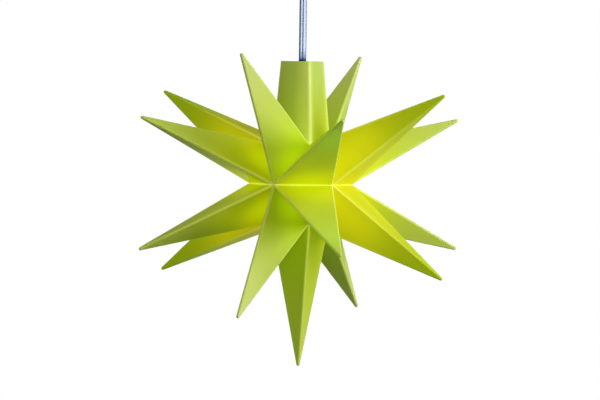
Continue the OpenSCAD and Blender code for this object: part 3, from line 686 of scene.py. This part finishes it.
def star_points():
    """Each point of the upper half: its direction, the corners of its foot in order, and its kind."""
    made = [(aim(side, STEEP_RISE), [turned(BELT_FAR, side), roof(side + 45), roof(side - 45)], STEEP)
            for side in (0, 180)]
    made += [(aim(side, BROAD_RISE),
              [turned(BELT_NEAR, side - BELT_TURN), turned(BELT_NEAR, side + BELT_TURN),
               roof(side + 45), roof(side - 45)], BROAD) for side in (90, 270)]
    made += [(aim(side + hand * FLAT_TURN, FLAT_RISE),
              [turned(BELT_FAR, side), turned(BELT_NEAR, side + hand * (90 - BELT_TURN)),
               roof(side + hand * 45)], FLAT) for side in (0, 180) for hand in (-1, 1)]
    return made


def slope_of(direction, foot):
    """How far a point's sides move along it for each millimetre that they move in."""
    tip = direction * (POINT_REACH + TIP_OVER)
    sines = [abs((p - tip).cross(q - tip).normalized().dot(direction))
             for p, q in zip(foot, foot[1:] + foot[:1])]
    return len(sines) / sum(sines)


# A step is one convex solid: what it does, its kind, and its corners as (place, inward direction,
# ridge radii back, walls back, what stands there)
def outer_point(direction, foot, family):
    slope = slope_of(direction, foot)
    return GROW, family, [(direction * POINT_REACH, direction, 1, 0, BALL)] + [
        (p, direction, slope, 0, BALL) for p in foot]


def point_hollow(direction, foot, family):
    slope = slope_of(direction, foot)
    return CUT, family, [(direction * POINT_REACH, direction, 1 - slope, slope, SHARP)] + [
        (p, direction, 0, slope, SHARP) for p in foot]


def upside_down(corners):
    """The same corners, mirrored at the belt."""
    flip = Vector((1, 1, -1))
    return [(place * flip, inward * flip, *rest) for place, inward, *rest in corners]


def body_corners(depth, walls):
    """Corners of the body that the points stand on, drawn in towards its middle."""
    belt = [turned(BELT_FAR, 0), turned(BELT_NEAR, 90 - BELT_TURN), turned(BELT_NEAR, 90 + BELT_TURN),
            turned(BELT_FAR, 180), turned(BELT_NEAR, 270 - BELT_TURN), turned(BELT_NEAR, 270 + BELT_TURN)]
    half = [(p - p.normalized() * depth + UP * (BELT_BAND / 2), p.normalized(), 0, walls, SHARP)
            for p in belt + [roof(side) for side in CORNER_TURNS]]
    return half + upside_down(half)


def slab(depth, low, high):
    """Corners of the slice of that body between two heights."""
    corners = [place for place, *_ in body_corners(depth, 0)]
    made = [p for p in corners if low <= p.z <= high]
    for level in (low, high):
        for i, p in enumerate(corners):
            for q in corners[i + 1:]:
                if (p.z - level) * (q.z - level) < 0:
                    made.append(p.lerp(q, (level - p.z) / (q.z - p.z)))
    return [(p, UP, 0, 0, SHARP) for p in made]


def neck_corners(low, high, walls, kind):
    """Corners of the square neck between two heights, drawn in where posts round its edges."""
    spread = (ROOF_CORNER - NECK_CORNER) / (NECK_HEIGHT - ROOF_HEIGHT)
    inset = NECK_ROUND * math.sqrt(2) if kind == POST else 0
    return [(turned(NECK_CORNER + (NECK_HEIGHT - z) * spread - inset, side, z), turned(1, side), 0,
             walls * math.sqrt(2), kind) for z in (low, high) for side in CORNER_TURNS]


def solid_half(points):
    """Steps of one half as if it were solid, cut off at the belt."""
    above = [(Vector((x, y, z)), UP, 0, 0, SHARP)
             for x in (-BEYOND, BEYOND) for y in (-BEYOND, BEYOND) for z in (0, BEYOND)]
    return [(GROW, BODY, body_corners(CORE_SINK, 0))] + [outer_point(*p) for p in points] + [
        (KEEP, BODY, above)]


def hollow_half(points):
    """Steps that hollow one half out: the body's cavity and a hollow in each point."""
    return [(CUT, BODY, body_corners(0, CAVITY_WALLS))] + [point_hollow(*p) for p in points]


def upper_steps():
    """The upper half, with its neck."""
    points = star_points()
    post = POST_LENGTH / 2
    outside = neck_corners(ROOF_HEIGHT - NECK_ROOT + post, NECK_HEIGHT - post, 0, POST)
    inside = neck_corners(ROOF_HEIGHT - NECK_HOLLOW_ROOT, NECK_HEIGHT + MOUTH_OVERRUN, 1, SHARP)
    return solid_half(points) + [(GROW, NECK, outside)] + hollow_half(points) + [(CUT, NECK, inside)]


def lower_steps():
    """The lower half, made upside down, with the locating lip: it stands past the belt, and its foot
    bites into the wall."""
    points = star_points() + [(UP, [roof(side) for side in CORNER_TURNS], HANGING)]
    wall = CAVITY_WALLS * WALL
    outside = wall + LOCATE_GAP
    lip = [(GROW, BODY, slab(outside, -LIP_HEIGHT, LIP_HEIGHT)),
           (GROW, BODY, slab(wall - LIP_BITE, LIP_RELIEF, LIP_HEIGHT)),
           (CUT, BODY, slab(outside + LIP_WALL, -LIP_HEIGHT - LIP_OVERRUN, LIP_HEIGHT + LIP_OVERRUN))]
    return [(action, family, upside_down(corners))
            for action, family, corners in solid_half(points) + hollow_half(points) + lip]


def step_mesh(name, steps):
    """The corners of every step as loose vertices, each with its notes."""
    places, notes = [], []
    for step, (action, family, corners) in enumerate(steps):
        for place, *corner in corners:
            places.append((place + UP * BELT_Z) * MM)
            notes.append((step, action, family, *corner))
    mesh = bpy.data.meshes.new(name)
    mesh.from_pydata(places, [], [])
    for (label, kind), values in zip(NOTES.items(), zip(*notes)):
        layer = mesh.attributes.new(label, kind, "POINT")
        if kind == "FLOAT_VECTOR":
            layer.data.foreach_set("vector", [axis for value in values for axis in value])
        else:
            layer.data.foreach_set("value", values)
    return mesh


def tree_inputs(tree):
    """Names the tree's inputs and its output, and returns the inputs."""
    face = tree.interface
    face.new_socket("Geometry", in_out="INPUT", socket_type="NodeSocketGeometry")
    for label, kind in (("Steps", "Int"), ("Facets", "Int"), ("Ridge radius", "Float"),
                        ("Neck edge radius", "Float"), ("Wall", "Float"), ("Finish", "Material")):
        face.new_socket(label, in_out="INPUT", socket_type="NodeSocket" + kind)
    face.new_socket("Geometry", in_out="OUTPUT", socket_type="NodeSocketGeometry")
    return add(tree, "NodeGroupInput").outputs


def corners_in_place(tree, given, notes):
    """The corners, moved back by their ridge radii and walls."""
    ridge = add(tree, "ShaderNodeMath", {0: notes["ridges_back"], 1: given["Ridge radius"]},
                operation="MULTIPLY")
    back = add(tree, "ShaderNodeMath", {0: notes["walls_back"], 1: given["Wall"], 2: ridge.outputs[0]},
               operation="MULTIPLY_ADD")
    away = add(tree, "ShaderNodeMath", {0: back.outputs[0], 1: -1.0}, operation="MULTIPLY")
    offset = add(tree, "ShaderNodeVectorMath", {0: notes["inward"], "Scale": away.outputs[0]},
                 operation="SCALE")
    return add(tree, "GeometryNodeSetPosition", {"Geometry": given["Geometry"],
                                                 "Offset": offset.outputs[0]}).outputs[0]


def corner_shapes(tree, given):
    """What may stand at a corner, as instances in the order of SHARP, BALL and POST."""
    half = add(tree, "ShaderNodeMath", {0: given["Facets"], 1: 0.5}, operation="MULTIPLY")
    sharp = add(tree, "GeometryNodeMeshLine", {"Count": 1})
    ball = add(tree, "GeometryNodeMeshUVSphere", {"Segments": given["Facets"], "Rings": half.outputs[0],
                                                  "Radius": given["Ridge radius"]})
    post = add(tree, "GeometryNodeMeshCylinder", {
        "Vertices": given["Facets"], "Radius": given["Neck edge radius"], "Depth": POST_LENGTH * MM})
    shapes = add(tree, "GeometryNodeJoinGeometry")
    # a join lists the newest link first
    for made in (post, ball, sharp):
        one = add(tree, "GeometryNodeGeometryToInstance", {0: made.outputs[0]})
        tree.links.new(one.outputs[0], shapes.inputs[0])
    return shapes.outputs[0]


def step_solid(tree, own, shapes, notes):
    """One step as the hull of its corners, whose faces know their kind and if they round a ridge."""
    placed = add(tree, "GeometryNodeInstanceOnPoints", {
        "Points": own, "Instance": shapes, "Pick Instance": True, "Instance Index": notes["corner"]})
    real = add(tree, "GeometryNodeRealizeInstances", {0: placed.outputs[0]})
    hull = add(tree, "GeometryNodeConvexHull", {0: real.outputs[0]})
    area = add(tree, "GeometryNodeInputMeshFaceArea")
    narrow = add(tree, "FunctionNodeCompare", {0: area.outputs[0], 1: RIDGE_FACET}, data_type="FLOAT",
                 operation="LESS_THAN")
    family = add(tree, "GeometryNodeAttributeStatistic", {"Geometry": own, "Attribute": notes["family"]})
    solid = hull.outputs[0]
    for label, value in (("ridge", narrow.outputs[0]), ("family_of_face", family.outputs["Max"])):
        solid = add(tree, "GeometryNodeStoreNamedAttribute", {
            "Geometry": solid, "Name": label, "Value": value}, data_type="FLOAT", domain="FACE").outputs[0]
    return solid


def carried_out(tree, whole, solid, action):
    """The shell after one step: grown by its solid, cut by it, or kept only inside it."""
    grown = add(tree, "GeometryNodeMeshBoolean", {"Mesh 2": [whole, solid]}, operation="UNION",
                solver="MANIFOLD")
    cut = add(tree, "GeometryNodeMeshBoolean", {"Mesh 1": whole, "Mesh 2": solid}, operation="DIFFERENCE",
              solver="MANIFOLD")
    kept = add(tree, "GeometryNodeMeshBoolean", {"Mesh 2": [whole, solid]}, operation="INTERSECT",
               solver="MANIFOLD")
    choice = add(tree, "GeometryNodeIndexSwitch", data_type="GEOMETRY")
    choice.index_switch_items.new()
    tree.links.new(action, choice.inputs[0])
    for i, made in enumerate((grown, cut, kept)):
        tree.links.new(made.outputs[0], choice.inputs[i + 1])
    return choice.outputs[0]


def shell_tree():
    """Builds a moulded shell from its steps, one after another."""
    tree = bpy.data.node_groups.new("moulded_shell", "GeometryNodeTree")
    given = tree_inputs(tree)
    notes = {label: add(tree, "GeometryNodeInputNamedAttribute", {"Name": label},
                        data_type=kind).outputs["Attribute"] for label, kind in NOTES.items()}
    corners = corners_in_place(tree, given, notes)
    shapes = corner_shapes(tree, given)
    start = add(tree, "GeometryNodeRepeatInput", {"Iterations": given["Steps"]})
    end = add(tree, "GeometryNodeRepeatOutput")
    start.pair_with_output(end)
    this = add(tree, "FunctionNodeCompare", {2: notes["step"], 3: start.outputs["Iteration"]},
               data_type="INT", operation="EQUAL")
    own = add(tree, "GeometryNodeSeparateGeometry", {
        "Geometry": corners, "Selection": this.outputs[0]}).outputs["Selection"]
    action = add(tree, "GeometryNodeAttributeStatistic", {"Geometry": own, "Attribute": notes["action"]})
    after = carried_out(tree, start.outputs["Geometry"], step_solid(tree, own, shapes, notes),
                        action.outputs["Max"])
    tree.links.new(after, end.inputs["Geometry"])
    smooth = add(tree, "GeometryNodeSetShadeSmooth", {"Geometry": end.outputs["Geometry"],
                                                      "Shade Smooth": True})
    bend = add(tree, "GeometryNodeInputMeshEdgeAngle")
    crease = add(tree, "FunctionNodeCompare", {0: bend.outputs[0], 1: math.radians(CREASE)},
                 data_type="FLOAT", operation="GREATER_THAN")
    creased = add(tree, "GeometryNodeSetShadeSmooth", {
        "Geometry": smooth.outputs[0], "Selection": crease.outputs[0], "Shade Smooth": False}, domain="EDGE")
    real = add(tree, "GeometryNodeRealizeInstances", {0: creased.outputs[0]})
    finish = add(tree, "GeometryNodeSetMaterial", {"Geometry": real.outputs[0], "Material": given["Finish"]})
    add(tree, "NodeGroupOutput", {0: finish.outputs[0]})
    return tree


def grown_piece(name, mesh, tree, inputs):
    """Runs a tree on a mesh and keeps the result as a plain mesh."""
    piece = bpy.data.objects.new(name, mesh)
    scene.collection.objects.link(piece)
    modifier = piece.modifiers.new("shape", "NODES")
    modifier.node_group = tree
    weighted = piece.modifiers.new("even_light", "WEIGHTED_NORMAL")
    weighted.keep_sharp = True
    for item in tree.interface.items_tree:
        if item.item_type == "SOCKET" and item.in_out == "INPUT" and item.name in inputs:
            modifier[item.identifier] = inputs[item.name]
    graph = bpy.context.evaluated_depsgraph_get()
    made = bpy.data.meshes.new_from_object(piece.evaluated_get(graph), depsgraph=graph)
    piece.modifiers.clear()
    piece.data = made
    made.name = name
    return piece


SHELL_TREE = shell_tree()
SHELL_INPUTS = {"Facets": 32, "Ridge radius": RIDGE_ROUND * MM, "Neck edge radius": NECK_ROUND * MM,
                "Wall": WALL * MM, "Finish": FINISHES["star_plastic"]}
for name, node, steps in (("upper_star", "upper_shell", upper_steps()),
                          ("lower_star", "lower_shell", lower_steps())):
    shell = grown_piece(name, step_mesh(name, steps), SHELL_TREE, {"Steps": len(steps), **SHELL_INPUTS})
    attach(shell, "star")
    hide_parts(node)


# The soft pieces: the flex in the cup and in the lamp, and the cores beyond its ends

# Levels of the flex's ends, above the belt in the lamp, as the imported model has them
FLEX_IN_CUP = (-25.7, -10.0)
FLEX_IN_LAMP = 31.5
# The flex in the lamp starts this far below the hanging one, so that their ends don't coincide
END_GAP = 0.03
# How far apart the lamp's two legs stand
LEG_SPACING = 2.54


def upright_run(top, bottom, count=12):
    """An upright stretch of the flex between two levels."""
    return [Vector((0, 0, top + (bottom - top) * i / count)) for i in range(count + 1)]


def cup_core(side):
    """A core from the end of the flex, over the gland's stem, to its terminal."""
    start = ACROSS * (side * HALF_SPACING / 2)
    return [(start.x, start.y, -10), (start.x, start.y, -8.5), (start.x + side * 0.5, 1.5, -7.5),
            (side * 2.8, 3, -6.5), (side * 4, 4.5, -6), (side * 4, 9.5, -6)]


def lamp_core(side):
    """A core from the end of the flex down to its leg's sleeve or to the resistor."""
    near, far = side * HALF_SPACING / 2, side * LEG_SPACING / 2
    lowest = 14 if side < 0 else 24.4
    return [ACROSS * x + UP * (BELT_Z + z) for x, z in ((near, FLEX_IN_LAMP), (near, 30.7), (far, 29.1),
                                                       (far, lowest))]


lamp_run = upright_run(FLEX_END - END_GAP, BELT_Z + FLEX_IN_LAMP)
# Each soft piece, the body that it rides on, the node that it replaces and its finish
SOFT = [
    (swept("cup_flex", [upright_run(*FLEX_IN_CUP)], flex_outline()), "ceiling", "cord_tail", "clear_flex"),
    (swept("cup_cores", [eased(cup_core(side)) for side in (-1, 1)], round_outline(CORE_R),
           Vector((1, 0, 0))), "ceiling", "tail_cores", "core_insulation"),
    (swept("lamp_flex", [lamp_run], flex_outline()), "lamp", "cord_end", "clear_flex"),
    (swept("lamp_cores", [eased(lamp_core(side)) for side in (-1, 1)], round_outline(CORE_R)), "lamp",
     "cord_cores", "core_insulation"),
    (hanging_flex, "cord", "pendant_cord", "clear_flex"),
]
for piece, body, node, slot in SOFT:
    piece.data.materials.append(FINISHES[slot])
    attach(piece, body)
    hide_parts(node)

# The CAD nodes that stay take the finishes of their material slots
for part in frame["record"]["subparts"]:
    for holder in frame["nodes"][part["node"]].material_slots:
        holder.material = FINISHES[part["material_slot"]]
